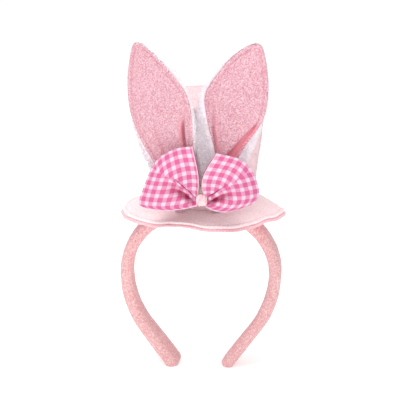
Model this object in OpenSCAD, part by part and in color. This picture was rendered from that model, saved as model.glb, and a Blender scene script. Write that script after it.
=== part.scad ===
// Rabbit ears headband: a padded C-shaped band that carries a small soft top hat
// with two ears and a gathered gingham bow.
// Millimetres. The origin is the highest point of the band's inner surface.
// +Z is up, -Y is the front, and +X is on the right when seen from the front.

/* [Band] */
// Inner width of the band at its widest level
band_inner_w = 118; // [106:1:126]
// Height of the band's inner top above the widest level
band_rise = 50.5; // [46:0.5:54]
// Inner radius of the band's sides
side_r = 48.8; // [44:0.4:49.2]
// Inner radius of the gently closing lower legs
leg_r = 80; // [70:1:100]
// Angle that the lower legs turn inward
leg_turn = 36.3; // [30:0.1:40]
// Length of the straight part at each leg's end
leg_straight = 41; // [30:1:46]
// Width of the band from front to back
band_w = 24; // [20:1:28]
// Thickness of the padded band
band_t = 9; // [8:0.5:10]
// Thickness of the velour sleeve
sleeve_t = 1; // [0.8:0.1:1.4]
// Width of the plastic core strip
core_w = 12; // [8:1:14]
// Thickness of the plastic core strip
core_t = 2; // [1.4:0.2:2.4]

/* [Brim] */
// Radius of the brim
brim_r = 69.5; // [66:0.5:72]
// Thickness of each felt layer
felt_t = 1.5; // [1:0.1:2]
// Thickness of the board between the felts
board_t = 1; // [0.8:0.1:1.5]
// Radius of the board
board_r = 63; // [58:1:64]
// Radius of the flat middle, under the crown
brim_flat_r = 44; // [42:1:46]
// Mean droop of the rim
rim_droop = 8; // [6:0.5:11]
// Distance of the edge stitching from the rim
stitch_in = 3.5; // [3:0.5:5]
// Sideways place of the brim's middle
hat_x = 2; // [0:0.5:3]

/* [Crown] */
// Radius of the crown at the brim
crown_r0 = 40.5; // [38:0.5:42]
// Radius of the crown at its lid
crown_r1 = 49.5; // [46:0.5:51]
// Height of the crown
crown_h = 89; // [84:1:92]
// Sideways place of the crown's axis
crown_x = 4; // [2:0.5:5]
// Thickness of the crown's plush
plush_t = 3; // [2:0.5:4]
// Thickness of the liner and of the disc under the lid
liner_t = 1.2; // [1:0.1:1.6]

/* [Ears] */
// Height of the ears above the brim
ear_h = 145; // [138:1:148]
// Greatest half width of the ear at -X
ear_left_half = 28.8; // [26:0.1:29]
// Greatest half width of the ear at +X
ear_right_half = 26.8; // [25:0.1:27]
// Distance of the -X ear's foot from the ears' middle
ear_left_foot = 16; // [16:0.1:18]
// Distance of the +X ear's foot from the ears' middle
ear_right_foot = 12.8; // [12.8:0.1:15]
// Outward turn of the ear at -X
ear_left_turn = 22; // [15:1:24]
// Outward turn of the ear at +X
ear_right_turn = -6; // [-8:1:6]
// Height above the brim at which the ears bend
bend_h = 64; // [62:1:68]
// Thickness of the foam inside an ear
ear_foam_t = 2.6; // [2:0.2:3]

/* [Bow] */
// Sideways place of the knot
bow_x = 5; // [4:0.5:6]
// Height of the knot's middle above the brim
knot_h = 19.5; // [18.5:0.5:20]
// Distance of the knot in front of the band's middle plane
knot_out = 72; // [72:1:75]
// Radius of the knot
knot_r = 6.5; // [6:0.5:7]
// Fullness of a loop from front to back
loop_full = 13; // [10:1:14]

/* [Hidden] */
$fn = 96;
gap = 0.35;

// Brim levels, from the band upward
glue_t = 1;
brim_z = band_t + glue_t;
under_z = brim_z + felt_t;
board_z = under_z + board_t;
top_z = board_z + felt_t;

// Band centreline, kept as arcs that meet without a corner
half_in = band_inner_w / 2;
side_x = half_in - side_r;
crest_r = (pow(side_x, 2) + pow(band_rise, 2) - pow(side_r, 2)) / (2 * (band_rise - side_r));
crest_z = -crest_r;
wide_z = -band_rise;
leg_x = half_in - leg_r;
crest_half = atan2(side_x, crest_r - band_rise);
mid = band_t / 2;
pad_w = band_w - 2 * sleeve_t;
pad_t = band_t - 2 * sleeve_t;
pad_end = leg_straight - sleeve_t;
core_end = leg_straight - 8;
corner_r = 6;
hinge_x = (crest_r + mid) * sin(crest_half);
hinge_z = crest_z + (crest_r + mid) * cos(crest_half);

// ---------------------------------------------------------------- band

// Section of a band layer: flat faces with round edges, x across the thickness
module band_section(w, t) {
    square([t, w - t], center = true);
    for (side = [-1, 1]) translate([0, side * (w - t) / 2]) circle(d = t);
}

// Section of a layer that goes round another one
module wrap_section(w, t, w_in, t_in) {
    difference() {
        band_section(w, t);
        band_section(w_in, t_in);
    }
}

// Arc of a band layer in the XZ plane, from angle a0 to a1 above +X
module band_arc(x, z, r, a0, a1) {
    translate([x, 0, z]) rotate([90, 0, 0]) rotate([0, 0, a0])
        rotate_extrude(angle = a1 - a0) translate([r, 0]) children();
}

// Stations of a leg layer of thickness t, from its round start at the flex axis to its end:
// [x, z, angle of the outward normal above +X, share of the thickness, inset of the sides]
function arc_station(x, r, a) = [x + r * cos(a), wide_z + r * sin(a), a, 1, 0];
function start_station(t, a) =
    [hinge_x - t / 2 * cos(a) * cos(crest_half), hinge_z + t / 2 * cos(a) * sin(crest_half),
     90 - crest_half, sin(a), 0];
function end_station(t, length, left) =
    let (run = length - left, near = min(1, left / (t / 2)))
    [leg_x + (leg_r + mid) * cos(leg_turn) - run * sin(leg_turn),
     wide_z - (leg_r + mid) * sin(leg_turn) - run * cos(leg_turn),
     -leg_turn, sqrt(1 - pow(1 - near, 2)), corner_r - sqrt(pow(corner_r, 2) - pow(corner_r - left, 2))];
function leg_stations(t, length) = concat(
    [for (a = [15, 40, 65]) start_station(t, a)],
    [for (k = [0:9]) arc_station(side_x, side_r + mid, (90 - crest_half) * (1 - k / 9))],
    [for (k = [1:6]) arc_station(leg_x, leg_r + mid, -leg_turn * k / 6)],
    [for (left = [corner_r, 0.5 * corner_r, 0.25 * corner_r, 0.1 * corner_r, 0.02 * corner_r])
        end_station(t, length, left)]
);

// Solid leg layer: a flat strip with round edges swept along the stations
module leg_layer(w, t, length) {
    half = 7;
    loop = 2 * half;
    stations = leg_stations(t, length);
    n = len(stations);
    points = [
        for (st = stations, side = [1, -1], k = [0:half - 1])
            let (
                a = side * 90 - 180 * k / (half - 1) * side,
                r = t / 2 * st[3],
                y = side * (max(r, w / 2 - st[4]) - r + r * cos(a)),
                out = r * sin(a)
            )
            [st[0] + out * cos(st[2]), y, st[1] + out * sin(st[2])]
    ];
    faces = concat(
        [for (i = [0:n - 2], j = [0:loop - 1])
            let (p = i * loop + j, q = i * loop + (j + 1) % loop) [p, q, p + loop]],
        [for (i = [0:n - 2], j = [0:loop - 1])
            let (p = i * loop + j, q = i * loop + (j + 1) % loop) [q, q + loop, p + loop]],
        [[for (j = [loop - 1:-1:0]) j]],
        [[for (j = [0:loop - 1]) (n - 1) * loop + j]]
    );
    polyhedron(points, faces);
}

// Middle stretch of a layer, hollowed at both ends for the legs' round ends
module middle_bend() {
    difference() {
        band_arc(0, crest_z, crest_r + mid, 90 - crest_half, 90 + crest_half) children();
        for (side = [-1, 1])
            translate([side * hinge_x, 0, hinge_z]) rotate([90, 0, 0])
                cylinder(r = mid + gap, h = band_w + 2, center = true);
    }
}

module core_section() {
    band_section(core_w, core_t);
}

module padding_section() {
    wrap_section(pad_w, pad_t, core_w, core_t);
}

module sleeve_section() {
    wrap_section(band_w, band_t, pad_w, pad_t);
}

module leg_core() {
    color("whitesmoke") leg_layer(core_w, core_t, core_end);
}

module leg_padding() {
    color("white") difference() {
        leg_layer(pad_w, pad_t, pad_end);
        leg_layer(core_w, core_t, core_end);
    }
}

module leg_sleeve() {
    color("lightpink") difference() {
        leg_layer(band_w, band_t, leg_straight);
        leg_layer(pad_w, pad_t, pad_end);
    }
}

module core_middle() {
    color("whitesmoke") middle_bend() core_section();
}

module core_left() {
    mirror([1, 0, 0]) leg_core();
}

module core_right() {
    leg_core();
}

module padding_middle() {
    color("white") middle_bend() padding_section();
}

module padding_left() {
    mirror([1, 0, 0]) leg_padding();
}

module padding_right() {
    leg_padding();
}

module sleeve_middle() {
    color("lightpink") middle_bend() sleeve_section();
}

module sleeve_left() {
    mirror([1, 0, 0]) leg_sleeve();
}

module sleeve_right() {
    leg_sleeve();
}

// ---------------------------------------------------------------- brim

// Glue between the band's crest and the brim
module glue_bead() {
    bead_l = 34;
    bead_w = 13;
    color("ivory") difference() {
        translate([-bead_l / 2, -bead_w / 2, 0]) cube([bead_l, bead_w, brim_z]);
        translate([0, 0, crest_z]) rotate([90, 0, 0])
            cylinder(r = crest_r + band_t, h = bead_w + 2, center = true, $fn = 720);
    }
}

// Droop of the rim in a direction: most at the back right, least at the front left
function rim_drop(a) = rim_droop + 2.2 * cos(a - 66) + 1.5 * cos(2 * a - 22)
    + 1.1 * cos(3 * a - 100) + cos(4 * a - 107) + cos(5 * a - 54);

// Droop at radius r: none under the crown, then growing to the rim
function brim_drop(r, a) =
    r <= brim_flat_r ? 0 : rim_drop(a) * pow((r - brim_flat_r) / (brim_r - brim_flat_r), 1.6);

// Rings that all the brim's layers share, so that their faces match
brim_rings = [
    0.5 * brim_flat_r, brim_flat_r,
    for (k = [1:3]) brim_flat_r + (board_r - brim_flat_r) * k / 3,
    brim_r
];

// One layer of the brim, out to a radius: a thin disc that follows the droop
module brim_layer(r, z, t) {
    turns = 60;
    rings = [for (ring = brim_rings) if (ring <= r) ring];
    n = len(rings);
    function skin(level) = [
        for (ring = rings, i = [0:turns - 1]) let (a = 360 * i / turns)
            [ring * cos(a), ring * sin(a), level - brim_drop(ring, a)]
    ];
    centre_top = 2 * n * turns;
    function at(ring, i, face) = (face * n + ring) * turns + i % turns;
    points = concat(skin(z + t), skin(z), [[0, 0, z + t], [0, 0, z]]);
    faces = concat(
        [for (i = [0:turns - 1]) [centre_top, at(0, i + 1, 0), at(0, i, 0)]],
        [for (i = [0:turns - 1]) [centre_top + 1, at(0, i, 1), at(0, i + 1, 1)]],
        [for (k = [0:n - 2], i = [0:turns - 1]) [at(k, i, 0), at(k, i + 1, 0), at(k + 1, i, 0)]],
        [for (k = [0:n - 2], i = [0:turns - 1]) [at(k, i + 1, 0), at(k + 1, i + 1, 0), at(k + 1, i, 0)]],
        [for (k = [0:n - 2], i = [0:turns - 1]) [at(k, i, 1), at(k + 1, i, 1), at(k, i + 1, 1)]],
        [for (k = [0:n - 2], i = [0:turns - 1]) [at(k, i + 1, 1), at(k + 1, i, 1), at(k + 1, i + 1, 1)]],
        [for (i = [0:turns - 1]) [at(n - 1, i, 0), at(n - 1, i + 1, 0), at(n - 1, i, 1)]],
        [for (i = [0:turns - 1]) [at(n - 1, i + 1, 0), at(n - 1, i + 1, 1), at(n - 1, i, 1)]]
    );
    translate([hat_x, 0, 0]) polyhedron(points, faces);
}

module brim_under_felt() {
    color("pink") brim_layer(brim_r, brim_z, felt_t);
}

module brim_board() {
    color("tan") brim_layer(board_r, under_z, board_t);
}

module brim_top_felt() {
    color("lavenderblush") brim_layer(brim_r, board_z, felt_t);
}

// Closed tube through a ring of points, with a square section
module thread_ring(path, r) {
    n = len(path);
    function side_of(i) = let (d = path[(i + 1) % n] - path[(i + n - 1) % n]) d / norm(d);
    function across(i) = let (c = cross(side_of(i), [0, 0.02, 1])) c / norm(c);
    points = [
        for (i = [0:n - 1], k = [0:3])
            let (u = across(i), v = cross(u, side_of(i)))
            path[i] + r * (cos(90 * k) * u + sin(90 * k) * v)
    ];
    faces = [
        for (i = [0:n - 1], k = [0:3])
            let (a = i * 4 + k, b = i * 4 + (k + 1) % 4, j = ((i + 1) % n) * 4)
            each [[a, j + k, b], [j + k, j + (k + 1) % 4, b]]
    ];
    polyhedron(points, faces);
}

module brim_stitching() {
    ring = brim_r - stitch_in;
    color("hotpink") translate([hat_x, 0, 0])
        thread_ring([
            for (a = [0:6:354])
                [ring * cos(a), ring * sin(a), top_z + 0.35 - brim_drop(ring, a)]
        ], 0.35);
}

// ---------------------------------------------------------------- crown

// Solid cone of the crown, set in from its outer surface and from its ends
module crown_solid(inset, low, high) {
    slope = (crown_r1 - crown_r0) / crown_h;
    translate([crown_x, 0, top_z + low])
        cylinder(r1 = crown_r0 + slope * low - inset, r2 = crown_r0 + slope * high - inset, h = high - low);
}

module crown_wall() {
    color("mistyrose") difference() {
        crown_solid(0, 0, crown_h);
        crown_solid(plush_t, -1, crown_h + 1);
    }
}

module crown_liner() {
    color("ivory") difference() {
        crown_solid(plush_t, 0, crown_h - plush_t - liner_t);
        crown_solid(plush_t + liner_t, -1, crown_h);
    }
}

module crown_filling() {
    color("white") crown_solid(plush_t + liner_t, 0, crown_h - plush_t - liner_t);
}

module crown_lid_disc() {
    color("ivory") crown_solid(plush_t, crown_h - plush_t - liner_t, crown_h - plush_t);
}

module crown_lid() {
    color("mistyrose") crown_solid(plush_t, crown_h - plush_t, crown_h);
}

// Sewn joint between the lid and the wall
module crown_lid_seam() {
    color("lightpink") translate([crown_x, 0, top_z + crown_h + 0.4])
        rotate_extrude() translate([crown_r1 - plush_t, 0]) circle(r = 0.4, $fn = 16);
}

// ---------------------------------------------------------------- ears

// An ear is given as [distance of its foot from the ears' middle, greatest half width, turn]
ear_left = [ear_left_foot, ear_left_half, ear_left_turn];
ear_right = [ear_right_foot, ear_right_half, ear_right_turn];
ears_x = 2;

// Layers of an ear from front to back
front_t = 1.2;
back_t = 2.4;
ear_t = front_t + ear_foam_t + back_t;
ear_cols = 10;
ear_rows = 16;
root_rows = 6;

// Middle and half width of an ear at t, the share of its height
function ear_mid(ear, t) = ear[0] + 23 * t + 10.3 * pow(t, 8);
function ear_width(ear, t) = max(0.5, ear[1] * pow(sin(180 * pow(t, 1.45)), 0.62));
function ear_turn(ear, t) = ear[2] * min(1, 2 * t);
// The edges cup forward, and the ear leans forward with the crown's flare
function ear_cup(t) = 2 + 3 * (1 - t);
function ear_front_y(h) = -(crown_r0 + 8 + h * (crown_r1 - crown_r0) / crown_h);

// Point of an ear: s across from its inner edge -1 to its outer edge 1, h above the brim,
// back behind the front surface
function ear_point(ear, s, h, back) =
    let (t = h / ear_h, foot = 6.5 * (1 - min(1, 5 * t)), w = ear_width(ear, t) + foot)
    [
        ears_x + ear_mid(ear, t) + s * w * cos(ear_turn(ear, t)),
        ear_front_y(h) + s * w * sin(ear_turn(ear, t)) - ear_cup(t) * s * s + back,
        top_z + h
    ];

// Heights of the rows of the ear's moving part, closer together towards the tip
function ear_level(k) = bend_h + (ear_h - 0.3 - bend_h) * (1 - pow(1 - k / ear_rows, 1.5));

// Slab of an ear through given heights, between two depths, with its edge columns left out
module ear_slab(ear, levels, from, to, trim) {
    rows = len(levels) - 1;
    cols = ear_cols - 2 * trim;
    points = [
        for (depth = [from, to], h = levels, j = [trim:ear_cols - trim])
            ear_point(ear, 2 * j / ear_cols - 1, h, depth)
    ];
    back = (rows + 1) * (cols + 1);
    function at(k, j, face) = face * back + k * (cols + 1) + j;
    faces = concat(
        [for (k = [0:rows - 1], j = [0:cols - 1]) [at(k, j, 0), at(k + 1, j, 0), at(k, j + 1, 0)]],
        [for (k = [0:rows - 1], j = [0:cols - 1]) [at(k + 1, j, 0), at(k + 1, j + 1, 0), at(k, j + 1, 0)]],
        [for (k = [0:rows - 1], j = [0:cols - 1]) [at(k, j, 1), at(k, j + 1, 1), at(k + 1, j, 1)]],
        [for (k = [0:rows - 1], j = [0:cols - 1]) [at(k, j + 1, 1), at(k + 1, j + 1, 1), at(k + 1, j, 1)]],
        [for (j = [0:cols - 1]) [at(0, j, 0), at(0, j + 1, 0), at(0, j + 1, 1), at(0, j, 1)]],
        [for (j = [0:cols - 1]) [at(rows, j, 0), at(rows, j, 1), at(rows, j + 1, 1), at(rows, j + 1, 0)]],
        [for (k = [0:rows - 1]) [at(k, 0, 0), at(k, 0, 1), at(k + 1, 0, 1), at(k + 1, 0, 0)]],
        [for (k = [0:rows - 1]) [at(k, cols, 0), at(k + 1, cols, 0), at(k + 1, cols, 1), at(k, cols, 1)]]
    );
    polyhedron(points, faces);
}

moving_levels = [for (k = [0:ear_rows]) ear_level(k)];
foam_levels = [for (k = [0:ear_rows - 2]) ear_level(k)];
root_levels = [for (k = [0:root_rows]) (bend_h - gap) * k / root_rows];

// Lower part of the ear, sewn to the crown and hidden by the bow
module ear_root(ear) {
    color("lightpink") ear_slab(ear, root_levels, 0, ear_t, 0);
}

module ear_front(ear) {
    color("pink") ear_slab(ear, moving_levels, 0, front_t, 0);
}

module ear_foam(ear) {
    color("white") ear_slab(ear, foam_levels, front_t, front_t + ear_foam_t, 1);
}

module ear_back(ear) {
    color("white") ear_slab(ear, moving_levels, front_t + ear_foam_t, ear_t, 0);
}

// Open tube through a list of points, with a square section
module thread_path(path, r) {
    n = len(path);
    function along(i) = let (d = path[min(i + 1, n - 1)] - path[max(i - 1, 0)]) d / norm(d);
    function across(i) = let (c = cross(along(i), [0, 1, 0.02])) c / norm(c);
    points = [
        for (i = [0:n - 1], k = [0:3])
            let (u = across(i), v = cross(u, along(i)))
            path[i] + r * (cos(90 * k) * u + sin(90 * k) * v)
    ];
    faces = concat(
        [for (i = [0:n - 2], k = [0:3])
            let (a = i * 4, b = a + 4, m = (k + 1) % 4)
            each [[a + k, b + k, a + m], [b + k, b + m, a + m]]],
        [[0, 1, 2, 3]],
        [[for (k = [3:-1:0]) (n - 1) * 4 + k]]
    );
    polyhedron(points, faces);
}

// Edge stitching on the front panel
module ear_stitching(ear) {
    steps = 18;
    low = bend_h + 2;
    high = ear_h - 8;
    function seam(s, k) = ear_point(ear, s, low + (high - low) * k / steps, -0.55);
    outer = [for (k = [0:steps]) seam(0.86, k)];
    inner = [for (k = [0:steps]) seam(-0.86, steps - k)];
    color("palevioletred") thread_path(concat(outer, inner), 0.35);
}

// Puts an ear on the -X side
module on_left() {
    translate([2 * ears_x, 0, 0]) mirror([1, 0, 0]) children();
}

module ear_left_root() {
    on_left() ear_root(ear_left);
}

module ear_left_front() {
    on_left() ear_front(ear_left);
}

module ear_left_foam() {
    on_left() ear_foam(ear_left);
}

module ear_left_back() {
    on_left() ear_back(ear_left);
}

module ear_left_stitching() {
    on_left() ear_stitching(ear_left);
}

module ear_right_root() {
    ear_root(ear_right);
}

module ear_right_front() {
    ear_front(ear_right);
}

module ear_right_foam() {
    ear_foam(ear_right);
}

module ear_right_back() {
    ear_back(ear_right);
}

module ear_right_stitching() {
    ear_stitching(ear_right);
}

// ---------------------------------------------------------------- bow

knot_z = top_z + knot_h;
pinch_r = 2.2;
pinch_x = 3.8;
bore_r = pinch_r + 2;

// Point on a fan-shaped loop: f from the knot to the fold, a the direction above level,
// side -1 on the front layer and 1 on the back layer
function loop_point(f, a, reach, side) =
    let (
        open = pow(f, 0.7),
        r = pinch_r + (reach - pinch_r) * f,
        z = r * sin(a) * open + pinch_r * sin(a) * (1 - open) * 0.8,
        full = loop_full * sin(180 * pow(f, 1.3) * 0.97) + pinch_r * (1 - f)
    )
    [pinch_x * (1 - f) + r * cos(a), side * full * (side < 0 ? 0.65 : 0.35) + 2 * f * f, z];

// Gathered loop of ribbon as a fan-shaped pillow, opening towards +X
module loop_pillow(a0, a1, reach_low, reach_high) {
    rows = 9;
    cols = 12;
    function angle(j) = a0 + (a1 - a0) * j / cols;
    function reach(j) = reach_low + (reach_high - reach_low) * j / cols;
    points = concat(
        [for (k = [0:rows], j = [0:cols]) loop_point(k / rows, angle(j), reach(j), -1)],
        [for (k = [0:rows], j = [0:cols]) loop_point(k / rows, angle(j), reach(j), 1)]
    );
    back = (rows + 1) * (cols + 1);
    function at(k, j, face) = face * back + k * (cols + 1) + j;
    faces = concat(
        [for (k = [0:rows - 1], j = [0:cols - 1]) [at(k, j, 0), at(k, j + 1, 0), at(k + 1, j, 0)]],
        [for (k = [0:rows - 1], j = [0:cols - 1]) [at(k, j + 1, 0), at(k + 1, j + 1, 0), at(k + 1, j, 0)]],
        [for (k = [0:rows - 1], j = [0:cols - 1]) [at(k, j, 1), at(k + 1, j, 1), at(k, j + 1, 1)]],
        [for (k = [0:rows - 1], j = [0:cols - 1]) [at(k, j + 1, 1), at(k + 1, j, 1), at(k + 1, j + 1, 1)]],
        [for (j = [0:cols - 1]) [at(0, j, 0), at(0, j, 1), at(0, j + 1, 1), at(0, j + 1, 0)]],
        [for (j = [0:cols - 1]) [at(rows, j, 0), at(rows, j + 1, 0), at(rows, j + 1, 1), at(rows, j, 1)]],
        [for (k = [0:rows - 1]) [at(k, 0, 0), at(k + 1, 0, 0), at(k + 1, 0, 1), at(k, 0, 1)]],
        [for (k = [0:rows - 1]) [at(k, cols, 0), at(k, cols, 1), at(k + 1, cols, 1), at(k + 1, cols, 0)]]
    );
    polyhedron(points, faces);
}

module bow_left_loop() {
    color("hotpink") translate([bow_x, -knot_out, knot_z]) mirror([1, 0, 0])
        loop_pillow(-15, 72, 50, 43);
}

module bow_right_loop() {
    color("hotpink") translate([bow_x, -knot_out, knot_z]) loop_pillow(-18, 76, 44, 35);
}

// Gathered middle of the ribbon, which joins the two loops
module bow_middle() {
    color("hotpink") translate([bow_x, -knot_out, knot_z]) rotate([0, 90, 0])
        cylinder(r = pinch_r, h = 2 * pinch_x - 0.1, center = true);
}

// Band of satin wrapped round the gathered middle
module bow_knot() {
    knot_w = 9.6;
    edge = (knot_r - bore_r) / 2;
    color("lavenderblush") translate([bow_x, -knot_out, knot_z]) rotate([0, 90, 0])
        rotate_extrude() {
            translate([bore_r, -knot_w / 2 + edge]) square([2 * edge, knot_w - 2 * edge]);
            for (side = [-1, 1])
                translate([bore_r + edge, side * (knot_w / 2 - edge)]) circle(edge, $fn = 32);
        }
}

// Thread that gathers the ribbon inside the knot
module bow_thread() {
    color("white") translate([bow_x, -knot_out, knot_z]) rotate([0, 90, 0])
        rotate_extrude() translate([pinch_r + 0.5, 0]) circle(r = 0.5, $fn = 16);
}

// Dab of glue between the knot and the crown, passing between the ears
module bow_glue() {
    color("ivory") difference() {
        translate([(bow_x + ears_x) / 2, 0, knot_z]) rotate([90, 0, 0])
            translate([0, 0, crown_r0 - 2]) cylinder(r = 2.8, h = knot_out - crown_r0 + 2);
        crown_solid(0, -1, crown_h);
        translate([bow_x, -knot_out, knot_z]) rotate([0, 90, 0])
            cylinder(r = knot_r, h = 20, center = true);
    }
}

core_middle();
core_left();
core_right();
padding_middle();
padding_left();
padding_right();
sleeve_middle();
sleeve_left();
sleeve_right();
glue_bead();
brim_under_felt();
brim_board();
brim_top_felt();
brim_stitching();
crown_wall();
crown_liner();
crown_filling();
crown_lid();
crown_lid_disc();
crown_lid_seam();
ear_left_root();
ear_left_front();
ear_left_foam();
ear_left_back();
ear_left_stitching();
ear_right_root();
ear_right_front();
ear_right_foam();
ear_right_back();
ear_right_stitching();
bow_left_loop();
bow_right_loop();
bow_middle();
bow_knot();
bow_thread();
bow_glue();
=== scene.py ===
import math

import bpy
import numpy as np
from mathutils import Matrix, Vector


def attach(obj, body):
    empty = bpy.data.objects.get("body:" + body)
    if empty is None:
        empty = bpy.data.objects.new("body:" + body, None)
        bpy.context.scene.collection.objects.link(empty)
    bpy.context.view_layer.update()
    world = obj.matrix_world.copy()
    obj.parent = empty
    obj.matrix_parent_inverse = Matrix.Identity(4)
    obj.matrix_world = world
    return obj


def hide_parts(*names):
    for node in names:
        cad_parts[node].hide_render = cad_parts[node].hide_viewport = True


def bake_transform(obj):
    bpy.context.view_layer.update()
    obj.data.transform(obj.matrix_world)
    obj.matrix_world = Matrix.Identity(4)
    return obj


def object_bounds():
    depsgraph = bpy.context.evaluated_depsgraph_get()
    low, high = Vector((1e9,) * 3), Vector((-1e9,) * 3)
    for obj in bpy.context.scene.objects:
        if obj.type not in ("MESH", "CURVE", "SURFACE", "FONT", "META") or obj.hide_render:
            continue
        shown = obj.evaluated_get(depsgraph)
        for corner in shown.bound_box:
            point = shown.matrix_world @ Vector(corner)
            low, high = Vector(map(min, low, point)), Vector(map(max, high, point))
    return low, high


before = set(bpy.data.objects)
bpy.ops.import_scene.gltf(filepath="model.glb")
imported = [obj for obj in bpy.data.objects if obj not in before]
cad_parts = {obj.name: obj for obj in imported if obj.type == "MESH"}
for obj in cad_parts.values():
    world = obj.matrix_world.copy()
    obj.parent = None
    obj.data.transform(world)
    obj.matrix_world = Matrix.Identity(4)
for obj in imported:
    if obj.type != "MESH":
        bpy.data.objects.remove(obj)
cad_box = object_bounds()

MM = 0.001
rng = np.random.default_rng(11)

# ------------------------------------------------------------------ camera and light


def aim(ob, place, target):
    """Puts a camera or lamp at a place and turns it to a target."""
    ob.location = place
    ob.rotation_euler = (Vector(target) - Vector(place)).to_track_quat("-Z", "Y").to_euler()


def around(azimuth, elevation, distance, centre):
    """Place at an angle round the object: azimuth 0 is its front, and 90 its right side."""
    a, e = math.radians(azimuth), math.radians(elevation)
    step = Vector((math.sin(a) * math.cos(e), -math.cos(a) * math.cos(e), math.sin(e)))
    return Vector(centre) + distance * step


def area_light(name, azimuth, elevation, distance, size, power, colour):
    data = bpy.data.lights.new(name, "AREA")
    data.size, data.energy, data.color = size, power, colour
    ob = bpy.data.objects.new(name, data)
    bpy.context.scene.collection.objects.link(ob)
    aim(ob, around(azimuth, elevation, distance, (0, 0, 0.02)), (0, 0, 0.02))


VIEW_CENTRE = (-0.001, 0.0, 0.0124)
VIEW_WIDTH = 0.34
VIEW_DISTANCE = 1.5
camera = bpy.data.objects.new("Camera", bpy.data.cameras.new("Camera"))
bpy.context.scene.collection.objects.link(camera)
camera.data.sensor_width = 36
camera.data.lens = 36 * VIEW_DISTANCE / VIEW_WIDTH
aim(camera, around(3.5, 15, VIEW_DISTANCE, VIEW_CENTRE), VIEW_CENTRE)
bpy.context.scene.camera = camera
bpy.context.scene.view_settings.view_transform = "Standard"

world = bpy.data.worlds.new("Studio")
bpy.context.scene.world = world
world.use_nodes = True
world.node_tree.nodes["Background"].inputs["Color"].default_value = (1.0, 1.0, 1.0, 1)
world.node_tree.nodes["Background"].inputs["Strength"].default_value = 0.71
area_light("key", -34, 55, 1.6, 0.7, 7, (1.0, 0.99, 0.97))
area_light("front", 4, 11, 1.8, 1.1, 6.5, (1.0, 0.985, 0.98))
area_light("top", 0, 84, 1.5, 0.8, 9, (1.0, 1.0, 1.0))

# ------------------------------------------------------------------ mesh tools


def smooth_step(x):
    """Smooth rise from 0 to 1 as x goes from 0 to 1."""
    x = np.clip(x, 0, 1)
    return x * x * (3 - 2 * x)


def lump(x, width):
    """Bell curve: 1 at x = 0, and near 0 beyond twice the width."""
    return np.exp(-((x / width) ** 2))


def field(points, size, seed):
    """Smooth field from about -1 to 1 with lumps of that size in mm."""
    p = np.asarray(points, float) / size + seed * np.array([17.31, 5.77, 9.13])
    base = np.floor(p)
    f = p - base
    f = f * f * (3 - 2 * f)
    total = np.zeros(p.shape[:-1])
    for dx in (0, 1):
        for dy in (0, 1):
            for dz in (0, 1):
                corner = base + np.array([dx, dy, dz])
                h = np.sin(corner @ np.array([127.1, 311.7, 74.7])) * 43758.5453
                h -= np.floor(h)
                wx = f[..., 0] if dx else 1 - f[..., 0]
                wy = f[..., 1] if dy else 1 - f[..., 1]
                wz = f[..., 2] if dz else 1 - f[..., 2]
                total += wx * wy * wz * (2 * h - 1)
    return total


def grid_faces(rows, cols, wrap=False, start=0, flip=False):
    """Quads of a grid of points. wrap joins its last column to its first."""
    i, j = np.meshgrid(np.arange(rows - 1), np.arange(cols if wrap else cols - 1), indexing="ij")
    k = (j + 1) % cols
    quads = np.stack([i * cols + j, i * cols + k, (i + 1) * cols + k, (i + 1) * cols + j], -1)
    quads = quads.reshape(-1, 4) + start
    return quads[:, ::-1] if flip else quads


def tube_faces(rows, cols):
    """Quads of a tube of rings, and the same with a face over each of its two ends."""
    quads = grid_faces(rows, cols, wrap=True)
    return quads, quads.tolist() + [list(range(cols)), list(range((rows - 1) * cols, rows * cols))]


def rim_faces(rows, cols, n):
    """Places (row, column) round a grid's border, and quads from it to a second grid n points later."""
    ring = [(i, 0) for i in range(rows)] + [(rows - 1, j) for j in range(1, cols)]
    ring += [(i, cols - 1) for i in range(rows - 2, -1, -1)] + [(0, j) for j in range(cols - 2, 0, -1)]
    index = [i * cols + j for i, j in ring]
    return ring, [[index[m], index[m - 1], index[m - 1] + n, index[m] + n] for m in range(len(index))]


def make(name, points, faces, material, corner_uv=None, floats=None, flat_faces=()):
    """A mesh object from points in mm. It keeps each point's resting place in mm for its material."""
    points = np.asarray(points, float).reshape(-1, 3)
    mesh = bpy.data.meshes.new(name)
    polygons = [list(map(int, f)) for f in faces]
    mesh.from_pydata((points * MM).tolist(), [], polygons)
    smooth = np.ones(len(polygons), bool)
    if len(flat_faces):
        smooth[list(flat_faces)] = False
    mesh.polygons.foreach_set("use_smooth", smooth)
    rest = mesh.attributes.new("rest", "FLOAT_VECTOR", "POINT")
    rest.data.foreach_set("vector", points.astype(np.float32).ravel())
    for key, values in (floats or {}).items():
        made = mesh.attributes.new(key, "FLOAT", "POINT")
        made.data.foreach_set("value", np.asarray(values, np.float32).ravel())
    if corner_uv is not None:
        layer = mesh.uv_layers.new(name="cloth")
        layer.data.foreach_set("uv", np.asarray(corner_uv, np.float32).ravel())
    mesh.materials.append(material)
    mesh.update()
    ob = bpy.data.objects.new(name, mesh)
    bpy.context.scene.collection.objects.link(ob)
    face_outward(ob)
    return ob


def face_outward(ob):
    """Turns a closed mesh's faces outward."""
    mesh = ob.data
    mesh.calc_loop_triangles()
    co = np.zeros(len(mesh.vertices) * 3, np.float32)
    tri = np.zeros(len(mesh.loop_triangles) * 3, np.int32)
    mesh.vertices.foreach_get("co", co)
    mesh.loop_triangles.foreach_get("vertices", tri)
    a, b, c = (co.reshape(-1, 3)[tri.reshape(-1, 3)[:, k]] for k in range(3))
    if (a * np.cross(b, c)).sum() < 0:
        mesh.flip_normals()
    return ob


def grid_normals(p):
    """Unit normals of a grid of points, from its rows and columns."""
    n = np.cross(np.gradient(p, axis=0), np.gradient(p, axis=1))
    return n / np.maximum(np.linalg.norm(n, axis=-1, keepdims=True), 1e-9)


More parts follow.
